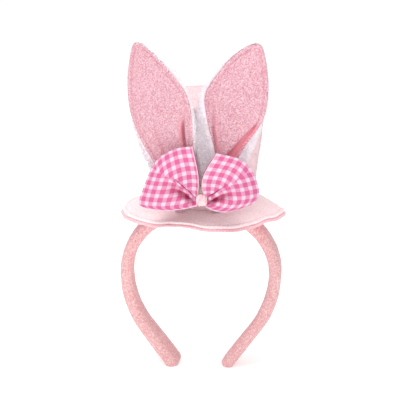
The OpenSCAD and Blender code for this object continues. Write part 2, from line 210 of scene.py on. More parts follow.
def spline(points, count):
    """A smooth curve through points, with count points evenly spaced along it."""
    p = np.asarray(points, float)
    ends = np.vstack([2 * p[0] - p[1], p, 2 * p[-1] - p[-2]])
    fine = []
    for k in range(len(p) - 1):
        a, b, c, d = ends[k:k + 4]
        t = np.linspace(0, 1, 40, endpoint=False)[:, None]
        fine.append(0.5 * (2 * b + (c - a) * t + (2 * a - 5 * b + 4 * c - d) * t ** 2
                           + (3 * b - a - 3 * c + d) * t ** 3))
    fine = np.vstack(fine + [p[-1:]])
    along = np.concatenate([[0], np.cumsum(np.linalg.norm(np.diff(fine, axis=0), axis=1))])
    at = np.linspace(0, along[-1], count)
    return np.stack([np.interp(at, along, fine[:, k]) for k in range(fine.shape[1])], 1)


def to_line(x, y, line):
    """Signed distance from points to a line of (x, y), positive on its right, and the share along it."""
    best = np.full(np.shape(x), 1e9)
    signed = np.zeros(np.shape(x))
    share = np.zeros(np.shape(x))
    n = len(line) - 1
    for k in range(n):
        (ax, ay), (bx, by) = line[k], line[k + 1]
        dx, dy = bx - ax, by - ay
        t = ((x - ax) * dx + (y - ay) * dy) / (dx * dx + dy * dy)
        t = np.clip(t, 0, 1)
        ex, ey = x - ax - t * dx, y - ay - t * dy
        d = np.hypot(ex, ey)
        side = np.where(ex * dy - ey * dx > 0, 1.0, -1.0)
        near = d < best
        best = np.where(near, d, best)
        signed = np.where(near, d * side, signed)
        share = np.where(near, (k + t) / n, share)
    return signed, share


def strands(name, roots, ways, lengths, width, droop, material):
    """Tapered three-sided hairs from roots. ways are unit directions, and droop bends their tips."""
    n = len(roots)
    helper = np.where(np.abs(ways[:, 2:3]) < 0.8, [[0, 0, 1.0]], [[1.0, 0, 0]])
    u = np.cross(ways, helper)
    u /= np.linalg.norm(u, axis=1, keepdims=True)
    v = np.cross(ways, u)
    length = lengths[:, None]
    middle = roots + ways * length * 0.55 + droop * length * 0.12
    tip = roots + ways * length * 0.95 + droop * length * 0.42
    points = []
    for centre, r in ((roots - ways * 0.4, width / 2), (middle, width * 0.36)):
        for k in range(3):
            a = 2 * math.pi * k / 3
            points.append(centre + r * (math.cos(a) * u + math.sin(a) * v))
    points.append(tip)
    points = np.stack(points, 1).reshape(-1, 3)
    start = np.arange(n) * 7
    roots_closed = start[:, None] + np.array([[2, 1, 0]])
    quads, tips = [], []
    for k in range(3):
        m = (k + 1) % 3
        quads.append(start[:, None] + np.array([[k, m, m + 3, k + 3]]))
        tips.append(start[:, None] + np.array([[k + 3, m + 3, 6]]))
    faces = roots_closed.tolist() + np.concatenate(quads).tolist() + np.concatenate(tips).tolist()
    return make(name, points, faces, material)


def on_surface(points, faces, count, chance=None):
    """Random places on quads: returns points, normals and the face that each is on. chance weighs faces."""
    faces = np.asarray(faces)
    a, b, c, d = (points[faces[:, k]] for k in range(4))
    n = np.cross(c - a, d - b)
    area = np.linalg.norm(n, axis=1)
    weight = area if chance is None else area * chance
    pick = rng.choice(len(faces), count, p=weight / weight.sum())
    s, t = rng.random((2, count, 1))
    p = (a[pick] * (1 - s) + b[pick] * s) * (1 - t) + (d[pick] * (1 - s) + c[pick] * s) * t
    return p, n[pick] / area[pick][:, None], pick


def beads(name, path, normals, length, gap, radius, material):
    """Sewn stitches along a path: short rounded threads that dip into the cloth at both ends."""
    along = np.concatenate([[0], np.cumsum(np.linalg.norm(np.diff(path, axis=0), axis=1))])

    def value(values, at):
        return np.array([np.interp(at, along, values[:, m]) for m in range(3)])

    count = int(along[-1] / (length + gap))
    points, faces = [], []
    shape = [(-1.0, 0.25, -0.5), (-0.75, 0.85, 0.0), (0.0, 1.0, 0.35), (0.75, 0.85, 0.0), (1.0, 0.25, -0.5)]
    for k in range(count):
        middle = (k + 0.5) * along[-1] / count
        rings = []
        for share, wide, lift in shape:
            at = middle + share * length / 2
            c, e, b = value(path, at), value(path, at + 0.3), value(path, at - 0.3)
            n = value(normals, at)
            n /= np.linalg.norm(n)
            ahead = (e - b) / max(np.linalg.norm(e - b), 1e-6)
            side = np.cross(n, ahead)
            side /= max(np.linalg.norm(side), 1e-6)
            turn = [2 * math.pi * q / 6 for q in range(6)]
            rings.append([c + radius * (lift * n + wide * (math.cos(q) * side + math.sin(q) * n)) for q in turn])
        first = len(points)
        for ring in rings:
            points.extend(ring)
        for i in range(4):
            for j in range(6):
                p, q = first + i * 6 + j, first + i * 6 + (j + 1) % 6
                faces.append([p, q, q + 6, p + 6])
        faces.append([first + j for j in range(5, -1, -1)])
        faces.append([first + 24 + j for j in range(6)])
    return make(name, np.array(points), faces, material)


# ------------------------------------------------------------------ materials


class Nodes:
    """Short calls that add and join a material's nodes."""

    def __init__(self, name):
        self.material = bpy.data.materials.new(name)
        self.material.use_nodes = True
        self.tree = self.material.node_tree
        self.shader = self.tree.nodes["Principled BSDF"]

    def add(self, kind, **settings):
        node = self.tree.nodes.new(kind)
        for key, value in settings.items():
            setattr(node, key, value)
        return node

    def join(self, source, target):
        self.tree.links.new(source, target)

    def set(self, node, **values):
        for key, value in values.items():
            node.inputs[key.replace("_", " ")].default_value = value

    def attribute(self, name, output="Vector"):
        return self.add("ShaderNodeAttribute", attribute_name=name).outputs[output]

    def noise(self, place, scale, detail=2.0, rough=0.5):
        node = self.add("ShaderNodeTexNoise")
        self.join(place, node.inputs["Vector"])
        self.set(node, Scale=scale, Detail=detail, Roughness=rough)
        return node.outputs["Fac"]

    def ramp(self, value, stops):
        node = self.add("ShaderNodeValToRGB")
        self.join(value, node.inputs["Fac"])
        line = node.color_ramp
        while len(line.elements) < len(stops):
            line.elements.new(0.5)
        for element, (at, colour) in zip(line.elements, stops):
            element.position = at
            element.color = (*linear(colour), 1)
        return node.outputs["Color"]

    def mix(self, share, a, b, how="MIX"):
        node = self.add("ShaderNodeMix", data_type="RGBA", blend_type=how)
        for socket, value in ((node.inputs[0], share), (node.inputs[6], a), (node.inputs[7], b)):
            if isinstance(value, (int, float)):
                socket.default_value = value
            elif isinstance(value, tuple):
                socket.default_value = (*linear(value), 1)
            else:
                self.join(value, socket)
        return node.outputs[2]

    def math(self, how, a, b=None, c=None):
        node = self.add("ShaderNodeMath", operation=how)
        for socket, value in zip(node.inputs, (a, b, c)):
            if isinstance(value, (int, float)):
                socket.default_value = value
            elif value is not None:
                self.join(value, socket)
        return node.outputs[0]

    def bump(self, height, distance, strength=1.0):
        node = self.add("ShaderNodeBump")
        self.set(node, Distance=distance * MM, Strength=strength)
        self.join(height, node.inputs["Height"])
        self.join(node.outputs["Normal"], self.shader.inputs["Normal"])

    def finish(self, colour, rough, sheen=0.0, sheen_tint=(255, 255, 255)):
        """Joins colour and roughness to the shader, sets its sheen, and gives the material."""
        self.join(colour, self.shader.inputs["Base Color"])
        if isinstance(rough, float):
            self.set(self.shader, Roughness=rough)
        else:
            self.join(rough, self.shader.inputs["Roughness"])
        self.set(self.shader, Sheen_Weight=sheen, Sheen_Roughness=0.45,
                 Sheen_Tint=(*linear(sheen_tint), 1), Specular_IOR_Level=0.25)
        return self.material


def linear(colour):
    """Linear colour of an 8-bit sRGB colour."""
    share = [c / 255 for c in colour]
    return [c / 12.92 if c <= 0.04045 else ((c + 0.055) / 1.055) ** 2.4 for c in share]


def pile(name, dark, base, light, grain, patch, bump, sheen, contrast=0.5, painted_glow=0.0):
    """Cloth with a pile: fine speckle of loop ends over broad patches, both in mm.

    contrast is the speckle's share. The last argument makes the cloth glow in its own colour: painted light that
    brightens it where little lamp light reaches.
    """
    m = Nodes(name)
    place = m.attribute("rest")
    fine = m.noise(place, 1 / grain, 3.0, 0.65)
    broad = m.noise(place, 1 / patch, 2.0, 0.5)
    speckle = m.ramp(fine, [(0.30, dark), (0.5, base), (0.70, light)])
    shade = m.ramp(broad, [(0.30, base), (0.70, light)])
    colour = m.mix(contrast, shade, speckle)
    m.bump(fine, bump)
    rough = m.math("MULTIPLY_ADD", fine, -0.25, 1.0)
    # painted light: the cloth glows in its own colour
    if painted_glow:
        m.join(colour, m.shader.inputs["Emission Color"])
        m.set(m.shader, Emission_Strength=painted_glow)
    return m.finish(colour, rough, sheen)


velour = pile("band_velour", (196, 124, 126), (218, 167, 169), (240, 216, 216), 1.3, 14, 0.6, 0.2, 0.85)
# painted light: the top felt glows a little, to brighten the brim in the bow's shadow
felt_top = pile("brim_felt_top", (238, 186, 190), (247, 219, 222), (255, 246, 246), 1.1, 16, 0.4, 0.1, 0.75,
                painted_glow=0.06)
felt_under = pile("brim_felt_under", (230, 152, 166), (244, 190, 199), (251, 220, 225), 1.1, 9, 0.4, 0.1, 0.75)
crown_pile = pile("crown_velour", (228, 182, 189), (241, 208, 213), (250, 230, 232), 1.3, 30, 0.5, 0.15, 0.5)
crown_fuzz = pile("crown_fuzz", (232, 188, 195), (244, 214, 219), (253, 240, 242), 1.6, 14, 0.1, 0.1, 0.5)
# painted light: the ear plush and its pile glow a little, to whiten them where the lamps light them less
fur_skin = pile("ear_plush_skin", (222, 204, 214), (240, 228, 235), (252, 248, 251), 1.2, 9, 0.6, 0.1, 0.6,
                painted_glow=0.10)
fur_pile = pile("ear_plush_pile", (230, 216, 225), (246, 238, 243), (255, 253, 255), 2.0, 8, 0.1, 0.1, 0.6,
                painted_glow=0.10)
thread_rose = pile("thread_rose", (196, 110, 128), (218, 142, 158), (240, 186, 198), 0.5, 6, 0.1, 0.1, 0.6)
thread_pale = pile("thread_pale", (226, 170, 182), (240, 196, 206), (250, 222, 228), 0.5, 6, 0.1, 0.1, 0.6)
foam_white = pile("foam", (220, 216, 208), (240, 238, 232), (250, 249, 246), 0.7, 8, 0.4, 0.0, 0.6)
fibre_white = pile("filling", (228, 228, 226), (244, 244, 242), (253, 253, 252), 2.5, 12, 0.8, 0.1, 0.6)
board_pale = pile("board", (214, 204, 190), (232, 226, 216), (244, 240, 234), 0.5, 9, 0.2, 0.0, 0.6)
core_plastic = pile("core", (224, 224, 218), (234, 234, 229), (240, 240, 236), 3.0, 20, 0.03, 0.0, 0.5)
glue_wax = pile("glue", (222, 214, 190), (238, 232, 212), (246, 242, 228), 2.0, 7, 0.3, 0.0, 0.5)


def terry_material():
    """Speckled short-loop terry with bright and rose loop ends, with painted shade: deep rose in its creases and a less
    speckled coral along its fold lips.
    """
    m = Nodes("ear_terry")
    place = m.attribute("rest")
    fine = m.noise(place, 1 / 1.15, 2.0, 0.65)
    sparkle = m.noise(place, 1 / 0.85, 1.0, 0.5)
    broad = m.noise(place, 1 / 22, 2.0, 0.5)
    speckle = m.ramp(fine, [(0.32, (184, 108, 127)), (0.5, (212, 159, 171)), (0.68, (230, 204, 210))])
    shade = m.ramp(broad, [(0.32, (206, 152, 165)), (0.68, (219, 175, 186))])
    cloth = m.mix(0.8, shade, speckle)
    bright = m.ramp(sparkle, [(0.60, (0, 0, 0)), (0.72, (255, 255, 255))])
    cloth = m.mix(m.math("MULTIPLY", bright, 0.6), cloth, (242, 216, 223))
    # painted shade: deep rose in the panel's creases and along its fold line
    cloth = m.mix(m.math("MULTIPLY", m.attribute("crease_shade", "Fac"), 0.6), cloth, (176, 84, 106))
    # painted shade: coral, less speckled colour along the fold lips and beside the creases
    fold_shade_mask = m.attribute("fold", "Fac")
    fold_shade_colour = m.ramp(fine, [(0.3, (220, 122, 138)), (0.7, (232, 154, 166))])
    colour = m.mix(fold_shade_mask, cloth, fold_shade_colour)
    m.bump(fine, 0.55)
    rough = m.math("MULTIPLY_ADD", fine, -0.3, 0.95)
    return m.finish(colour, rough, 0.2, (255, 235, 240))


def gingham_material():
    """Woven check from the cloth's own lengthwise and crosswise millimetres, with its threads, a pale hem and painted
    shade in its tucks.
    """
    check = 7.2
    m = Nodes("gingham")
    uv = m.add("ShaderNodeUVMap", uv_map="cloth").outputs["UV"]
    split = m.add("ShaderNodeSeparateXYZ")
    m.join(uv, split.inputs[0])
    wobble = m.noise(m.attribute("rest"), 1 / 2.5, 1.0, 0.5)
    bands, threads = [], []
    for axis in (0, 1):
        at = m.math("MULTIPLY_ADD", wobble, 0.5, split.outputs[axis])
        middle = m.math("PINGPONG", at, check / 2)
        edge = m.add("ShaderNodeMapRange", interpolation_type="SMOOTHSTEP")
        m.join(middle, edge.inputs["Value"])
        m.set(edge, From_Min=check * 0.225 - 0.22, From_Max=check * 0.225 + 0.22, To_Min=0.0, To_Max=1.0)
        bands.append(edge.outputs["Result"])
        threads.append(m.math("PINGPONG", split.outputs[axis], 0.24))
    weave = m.math("MULTIPLY", m.math("ADD", threads[0], threads[1]), 2.0)
    dyed = m.math("MULTIPLY", m.math("ADD", bands[0], bands[1]), 0.5)
    dyed = m.math("ADD", dyed, m.math("MULTIPLY_ADD", weave, 0.16, -0.08))
    colour = m.ramp(dyed, [(0.06, (224, 204, 215)), (0.5, (216, 147, 180)), (0.94, (208, 96, 144))])
    mottle = m.noise(m.attribute("rest"), 1 / 1.1, 2.0, 0.6)
    colour = m.mix(m.math("MULTIPLY_ADD", mottle, 0.5, -0.1), colour, (255, 214, 232), "MULTIPLY")
    # painted shade: the check is darkened to magenta in the ribbon's tucks
    colour = m.mix(m.attribute("tuck", "Fac"), colour, (214, 96, 138), "MULTIPLY")
    colour = m.mix(m.attribute("hem", "Fac"), colour, (250, 212, 226))
    m.bump(weave, 0.12)
    return m.finish(colour, 0.72, 0.1, (255, 225, 238))


def satin_material():
    """Smooth satin with fine lengthwise threads."""
    m = Nodes("satin")
    place = m.attribute("rest")
    fine = m.noise(place, 1 / 0.4, 2.0, 0.6)
    broad = m.noise(place, 1 / 4, 2.0, 0.5)
    colour = m.mix(0.3, m.ramp(broad, [(0.35, (224, 158, 170)), (0.62, (240, 206, 209))]),
                   m.ramp(fine, [(0.3, (230, 184, 192)), (0.7, (248, 230, 231))]))
    m.bump(fine, 0.06)
    return m.finish(colour, 0.32, 0.1, (255, 240, 240))


terry = terry_material()
gingham = gingham_material()
satin = satin_material()

# ------------------------------------------------------------------ band

BAND_W, BAND_T = 24.0, 9.0
SIDE_R, LEG_R, RISE = 48.8, 80.0, 50.5
SIDE_X = 59 - SIDE_R
CREST_R = (SIDE_X ** 2 + RISE ** 2 - SIDE_R ** 2) / (2 * (RISE - SIDE_R))
CREST_HALF = math.atan2(SIDE_X, CREST_R - RISE)
LEG_X = 59 - LEG_R
LEG_TURN = math.radians(36.3)
STRAIGHT = 44.0     # 3 mm of it is folded cloth past the end of the padding
MID = BAND_T / 2
PROUD = 0.7         # pile that stands out on each face
END_RUN = 6.5       # length of the rounded end
TWIST_RUN = 85.0    # the leg starts to twist at this distance from its end
SEAM_Y = 2.0        # place of the lengthwise seam across the inner face
FOLD_RUN = 7.5      # distance of the hem's fold from the end
FLAT_POINTS, ARC_POINTS = 22, 14


def band_place(run):
    """Centreline point (x, z) and the outward normal's angle above +X, at a distance from the crest."""
    crest = (CREST_R + MID) * CREST_HALF
    side = (SIDE_R + MID) * (math.pi / 2 - CREST_HALF)
    leg = (LEG_R + MID) * LEG_TURN
    if run < crest:
        a = math.pi / 2 - run / (CREST_R + MID)
        return (CREST_R + MID) * math.cos(a), -CREST_R + (CREST_R + MID) * math.sin(a), a
    run -= crest
    if run < side:
        a = math.pi / 2 - CREST_HALF - run / (SIDE_R + MID)
        return SIDE_X + (SIDE_R + MID) * math.cos(a), -RISE + (SIDE_R + MID) * math.sin(a), a
    run -= side
    a = -min(run / (LEG_R + MID), LEG_TURN)
    x, z = LEG_X + (LEG_R + MID) * math.cos(a), -RISE + (LEG_R + MID) * math.sin(a)
    left = max(0.0, run - leg)
    return x + left * math.sin(a), z - left * math.cos(a), a


BAND_RUN = (CREST_R + MID) * CREST_HALF + (SIDE_R + MID) * (math.pi / 2 - CREST_HALF) \
    + (LEG_R + MID) * LEG_TURN + STRAIGHT


def band_section(half_w, half_t):
    """Points round the band's section: two flat faces, and edges rounded to a half circle."""
    flat_half = max(half_w - half_t, 0.05)
    flat = np.linspace(1, -1, FLAT_POINTS, endpoint=False) * flat_half
    arc = np.linspace(math.pi / 2, -math.pi / 2, ARC_POINTS, endpoint=False)
    y = np.concatenate([flat, -flat_half - min(half_w, half_t) * np.cos(arc)])
    out = np.concatenate([np.full(FLAT_POINTS, half_t), half_t * np.sin(arc)])
    return np.concatenate([y, -y]), np.concatenate([out, -out])


def band_half(name, side, twist, seed):
    """One half of the velour sleeve, from the crest to its rounded end."""
    around_count = 2 * (FLAT_POINTS + ARC_POINTS)
    body = np.arange(0, BAND_RUN - END_RUN, 1.5)
    end = BAND_RUN - END_RUN * (1 - np.sin(np.linspace(0, math.pi / 2, 14)))
    runs = np.concatenate([body, end])
    rows = []
    for run in runs:
        x, z, a = band_place(run)
        left = BAND_RUN - run
        round_w = 1 - (1 - min(1.0, left / 7.5)) ** 2
        round_t = 1 - (1 - min(1.0, left / 4.5)) ** 2
        half_w = BAND_W / 2 * (0.45 + 0.55 * math.sqrt(max(round_w, 0.0)))
        half_t = (BAND_T / 2 + PROUD) * math.sqrt(max(round_t, 0.0)) + 0.02
        t = math.radians(twist) * float(smooth_step((run - (BAND_RUN - TWIST_RUN)) / 60))
        normal = np.array([math.cos(a) * math.cos(t), math.sin(t), math.sin(a) * math.cos(t)])
        across = np.array([-math.cos(a) * math.sin(t), math.cos(t), -math.sin(a) * math.sin(t)])
        y, out = band_section(half_w, half_t)
        crowned = np.where(out > 0, 0.35, 0.15) * (1 - (y / half_w) ** 2) * np.sign(out)
        inner = out < -0.5 * half_t
        seam = np.where(inner, 0.6 * lump(y - SEAM_Y, 0.9), 0)
        fold = np.where(inner, 0.7 * lump(left - FOLD_RUN, 0.7), 0.25 * lump(left - FOLD_RUN, 0.9))
        out = out + crowned * min(1, left / 6) + seam + fold * np.sign(-out) * 0.9
        rows.append(np.array([x, 0, z]) + np.outer(out, normal) + np.outer(y, across))
    p = np.array(rows)
    n = grid_normals(p)
    flat = p.reshape(-1, 3)
    wrinkle = field(flat * [1, 0.35, 1], 4.5, seed) * 0.14 + field(flat, 12, seed + 1) * 0.2
    wrinkle = wrinkle + field(flat, 1.3, seed + 2) * 0.09
    steady = np.repeat(smooth_step(runs / 12), around_count)
    p = p + n * (wrinkle * steady).reshape(p.shape[:2])[..., None]
    p[..., 0] = np.maximum(p[..., 0], 0)
    p[0, :, 0] = 0
    if side < 0:
        p[..., 0] *= -1
    rows_n = len(runs)
    cap = p[0].copy()
    points = np.concatenate([p.reshape(-1, 3), cap])
    faces = grid_faces(rows_n, around_count, wrap=True).tolist()
    faces.append(list(range((rows_n - 1) * around_count, rows_n * around_count)))
    faces.append([rows_n * around_count + k for k in range(around_count - 1, -1, -1)])
    ob = make(name, points, faces, velour, flat_faces=[len(faces) - 1])
    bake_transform(ob)
    return ob


sleeve_r = band_half("sleeve_right_half", 1, -9, 3)
sleeve_l = band_half("sleeve_left_half", -1, 8, 5)
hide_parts("sleeve_right", "sleeve_middle")
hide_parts("sleeve_left")

# ------------------------------------------------------------------ brim

HAT_X, BRIM_R, FLAT_R = 2.0, 69.5, 44.0
TOP_Z = 14.0
STITCH_R = 65.6     # radius of the sewn groove


def rim_drop(a):
    """Droop of the rim in mm, by direction in radians."""
    drop = 8.0
    for share, times, turn in ((2.2, 1, -66), (1.5, 2, -22), (1.1, 3, -100), (1.0, 4, -107), (1.0, 5, -54)):
        drop = drop + share * np.cos(times * a + math.radians(turn))
    return drop


def brim_drop(r, a):
    """Droop at a radius: none under the crown, then growing to the rim."""
    return rim_drop(a) * (np.clip(r - FLAT_R, 0, None) / (BRIM_R - FLAT_R)) ** 1.6


def rim_wave(r, a, seed):
    """Uneven height of the cut felt near the rim, with one flick at its right end."""
    grow = np.clip((r - 50) / 20, 0, 1.1) ** 1.6
    wave = 0.5 * np.sin(7 * a + seed) + 0.4 * np.sin(11 * a + 2.1 * seed) + 0.22 * np.sin(19 * a + seed)
    flick = 1.6 * lump((a + 0.05 + math.pi) % (2 * math.pi) - math.pi, 0.10)
    return grow * (wave + flick)


def felt_disc(name, level, thick, rim_r, edge, material, seed, stitch):
    """A felt disc with a soft rounded rim, both faces and its edge in one closed mesh."""
    turns = 420
    a = np.linspace(0, 2 * math.pi, turns, endpoint=False)
    inner = np.concatenate([[0.5, 8, 16, 24, 32, 40], np.arange(44, rim_r - edge, 0.9)])
    arc = np.linspace(0, math.pi, 15)
    lip = [(rim_r - edge + edge * math.sin(q), math.cos(q)) for q in arc]
    profile = [(r, 1.0) for r in inner] + lip + [(r, -1.0) for r in inner[::-1]]
    rows = []
    for r, face in profile:
        rr = r * (1 + 0.006 * np.sin(5 * a + seed) * max(0, (r - 50) / 20) + 0.002 * np.sin(17 * a + seed))
        z = level + face * thick / 2 - brim_drop(rr, a) + rim_wave(rr, a, seed * 0.1 + 1.0)
        if face > 0 and stitch:
            z = z - 0.55 * lump(r - STITCH_R, 0.8) + 0.35 * lump(r - STITCH_R - 1.6, 1.1)
        rows.append(np.stack([HAT_X + rr * np.cos(a), rr * np.sin(a), z], 1))
    p = np.array(rows)
    n = grid_normals(p)
    rough = field(p.reshape(-1, 3), 1.2, seed) * 0.08 + field(p.reshape(-1, 3), 7, seed + 1) * 0.18
    far = smooth_step((np.array([r for r, f in profile]) - 40) / 8)
    p = p + n * (rough.reshape(p.shape[:2]) * far[:, None])[..., None]
    return make(name, p, tube_faces(len(profile), turns)[1], material)


brim_top = felt_disc("brim_top", 13.1, 1.8, 68.6, 0.9, felt_top, 3, True)
brim_under = felt_disc("brim_under", 11.0, 2.0, 70.0, 1.3, felt_under, 3, False)
for ob, node, rest in ((brim_top, "brim_top_felt", "brim_board"), (brim_under, "brim_under_felt", "glue_bead")):
    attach(ob, "hat")
    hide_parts(node)

seam_a = np.linspace(0, 2 * math.pi, 900)
seam_r = STITCH_R * (1 + 0.006 * np.sin(5 * seam_a + 3) * 0.78 + 0.002 * np.sin(17 * seam_a + 3))
seam_z = TOP_Z - 0.45 - brim_drop(seam_r, seam_a) + rim_wave(seam_r, seam_a, 1.3)
seam_path = np.stack([HAT_X + seam_r * np.cos(seam_a), seam_r * np.sin(seam_a), seam_z], 1)
seam_up = np.tile([0.0, 0.0, 1.0], (len(seam_a), 1))
brim_seam = beads("brim_stitches", seam_path, seam_up, 2.6, 0.9, 0.28, thread_pale)
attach(brim_seam, "hat")
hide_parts("brim_stitching")

# ------------------------------------------------------------------ crown

CROWN_X, CROWN_R0, CROWN_R1, CROWN_H = 4.0, 40.5, 49.5, 89.0
LID_SEAM_R = 45.2


def crown_shell():
    """Wall and lid of the crown as one stuffed form, with a tucked foot, a seam ring and a back seam."""
    turns = 240
    a = np.linspace(0, 2 * math.pi, turns, endpoint=False)
    wall_h = np.linspace(0, CROWN_H - 3, 62)
    profile = [(CROWN_R0 - 2.0, -0.3), (CROWN_R0 - 0.6, 0.0)]
    profile += [(CROWN_R0 + (CROWN_R1 - CROWN_R0) * h / CROWN_H, h) for h in wall_h[1:]]
    bend = np.linspace(0, math.pi / 2, 9)[1:]
    top_r = CROWN_R0 + (CROWN_R1 - CROWN_R0) * wall_h[-1] / CROWN_H
    profile += [(top_r - 2.6 * (1 - math.cos(q)), wall_h[-1] + 2.8 * math.sin(q)) for q in bend]
    profile += [(LID_SEAM_R + 0.7, CROWN_H - 0.6), (LID_SEAM_R, CROWN_H - 0.9), (LID_SEAM_R - 0.7, CROWN_H - 0.6)]
    lid_r = np.linspace(43.5, 0.6, 26)
    profile += [(r, CROWN_H - 0.2 + 1.5 * (1 - (r / 44.0) ** 2.5)) for r in lid_r]
    rows = []
    for r, h in profile:
        rows.append(np.stack([CROWN_X + r * np.cos(a), r * np.sin(a), np.full(turns, TOP_Z + h)], 1))
    p = np.array(rows)
    n = grid_normals(p)
    q = p.reshape(-1, 3)
    soft = field(q, 30, 21) * 0.9 + field(q, 11, 22) * 0.25 + field(q, 2.2, 23) * 0.1
    heights = np.array([h for r, h in profile])
    grow = smooth_step(heights / 6)
    seam = np.where(heights[:, None] < CROWN_H - 3, 0.9 * lump(a[None, :] - math.pi / 2, 0.014), 0)
    out = np.sign((n * (p - [CROWN_X, 0, TOP_Z + 40])).sum(-1)).mean()
    p = p + n * out * ((soft.reshape(p.shape[:2]) * grow[:, None]) - seam)[..., None]
    quads, faces = tube_faces(len(profile), turns)
    return p.reshape(-1, 3), faces, quads


crown_p, crown_f, crown_q = crown_shell()
crown = make("crown_shell", crown_p, crown_f, crown_pile)
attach(crown, "hat")
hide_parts("crown_wall", "crown_lid")


def outward(normals, points, centre):
    side = np.sign((normals * (points - centre)).sum(1, keepdims=True))
    return normals * side


root, normal, _ = on_surface(crown_p, crown_q, 15000)
normal = outward(normal, root, np.array([CROWN_X, 0, TOP_Z + 40]))
way = normal * 0.75 + np.array([0, 0, -0.55]) + rng.normal(0, 0.33, (len(root), 3))
way /= np.linalg.norm(way, axis=1, keepdims=True)
fuzz = strands("crown_fuzz", root, way, rng.uniform(1.1, 2.2, len(root)), 0.34,
               np.array([0, 0, -0.5]), crown_fuzz)
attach(fuzz, "hat")

seam_a = np.linspace(0, 2 * math.pi, 600)
seam_path = np.stack([CROWN_X + LID_SEAM_R * np.cos(seam_a), LID_SEAM_R * np.sin(seam_a),
                      np.full(600, TOP_Z + CROWN_H - 0.75)], 1)
lid_seam = beads("crown_lid_stitches", seam_path, np.tile([0.0, 0, 1], (600, 1)), 2.8, 1.0, 0.35, thread_pale)
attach(lid_seam, "hat")
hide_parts("crown_lid_seam")

# ------------------------------------------------------------------ ears

EAR_H, EARS_X = 145.0, 2.0
GROOVE = 3.5            # the panel's sewn line is this far inside its edge
PANEL_BACK, BODY_MID = 2.9, 3.7
BEND_LOW, BEND_HIGH = 52.0, 76.0


class Ear:
    """Shape of one ear: s goes across from its inner edge -1 to its outer edge 1, h is the height above the brim."""

    def __init__(self, side, foot, half, turn, inner, outer, creases, fold, trim):
        self.side, self.foot, self.half, self.turn, self.trim = side, foot, half, turn, trim
        self.inner, self.outer, self.creases, self.fold = inner, outer, creases, fold

    def width(self, h):
        t = np.clip(h / EAR_H, 0, 1)
        w = np.maximum(0.5, self.half * np.sin(math.pi * t ** 1.45) ** 0.62)
        return (w + 6.5 * (1 - np.minimum(1, 5 * t))) * (0.6 + 0.4 * smooth_step(h / 14))

    def middle(self, h):
        t = h / EAR_H
        return self.foot + 23 * t + 10.3 * t ** 8

    def point(self, s, h, back):
        t = h / EAR_H
        w = self.width(h)
        turn = np.radians(self.turn) * np.minimum(1, 2 * t)
        x = EARS_X + self.side * (self.middle(h) + s * w * np.cos(turn))
        y = -(CROWN_R0 + 8 + h * (CROWN_R1 - CROWN_R0) / CROWN_H) + s * w * np.sin(turn) \
            - (2 + 3 * (1 - t)) * s * s + back + 2.5 * (1 - smooth_step(h / 12))
        return np.stack([x, y, TOP_Z + h + 0 * s], -1)

    def flat(self, s, h):
        """Place across the unrolled ear, in mm."""
        return self.middle(h) + s * self.width(h)

    def unrolled(self, line):
        return [(self.flat(np.array(s), np.array(h)), h) for s, h in line]

    def panel_edges(self, h):
        lo = np.interp(h, *zip(*self.inner))
        hi = np.interp(h, *zip(*self.outer))
        return lo, hi

    def outline(self):
        h = np.linspace(1.0, 143.4, 260)
        lo, hi = self.panel_edges(h)
        left = np.stack([self.flat(lo, h), h], 1)
        right = np.stack([self.flat(hi, h), h], 1)
        return np.vstack([left, right[::-1]])

    def relief(self, s, h):
        """How far the front panel stands out from the ear's front surface, in mm, with masks of painted shade along its
        fold lips and in its creases.
        """
        x = self.flat(s, h)
        edge = self.outline()
        d = np.full(np.shape(x), 1e9)
        for k in range(len(edge)):
            a, b = edge[k - 1], edge[k]
            e = b - a
            t = np.clip(((x - a[0]) * e[0] + (h - a[1]) * e[1]) / max((e ** 2).sum(), 1e-9), 0, 1)
            d = np.minimum(d, np.hypot(x - a[0] - t * e[0], h - a[1] - t * e[1]))
        shade, crease_shade = np.zeros(np.shape(x)), np.zeros(np.shape(x))
        out = 1.7 * (1 - np.exp(-d / 5.0)) - 1.1 * np.exp(-d / 0.7) - 0.75 * lump(d - GROOVE, 0.75)
        for line, depth, wide, lip in self.creases:
            signed, share = to_line(x, h, self.unrolled(line))
            fade = smooth_step(share * 2.2) * (0.85 + 0.3 * np.sin(9 * share + depth))
            out = out - fade * (depth * lump(signed, wide) - lip * lump(signed + 2.6, 1.8)
                                - 0.5 * lip * lump(signed - 3.0, 1.8))
            # painted shade: darker in the crease itself, and coral on its lip
            crease_shade = np.maximum(crease_shade, fade * min(1, depth / 3) * lump(signed, wide * 0.8))
            shade = np.maximum(shade, fade * min(1, lip / 2) * lump(signed + 2.4, 1.5))
        if self.fold:
            signed, share = to_line(x, h, self.unrolled(self.fold))
            signed = -signed
            fade = smooth_step(share * 4)
            out = out + fade * 1.3 * lump(np.minimum(signed, 0), 5.0) * (signed < 0)
            drop = smooth_step((signed + 0.3) / 1.0)
            out = out + fade * drop * (1.3 - 2.9 + 2.3 * (1 - np.exp(-np.maximum(signed, 0) / 3.5)))
            # painted shade: coral along the fold's lip, and darker along its crease
            shade = np.maximum(shade, fade * smooth_step((signed + 0.2) / 0.8) * smooth_step((7.5 - signed) / 2))
            crease_shade = np.maximum(crease_shade, fade * 0.8 * lump(signed - 0.3, 0.8))
        p = np.stack([x, h, 0 * x], -1)
        out = out + 0.55 * field(p, 26, 31 + self.side) + 0.25 * field(p, 9, 33 + self.side)
        out = out + 0.13 * field(p, 1.5, 35) + 0.08 * field(p, 0.9, 36)
        return out, shade, crease_shade

    def panel(self, s, h):
        out, shade, crease_shade = self.relief(s, h)
        return self.point(s, h, 0.5 - out), shade, crease_shade


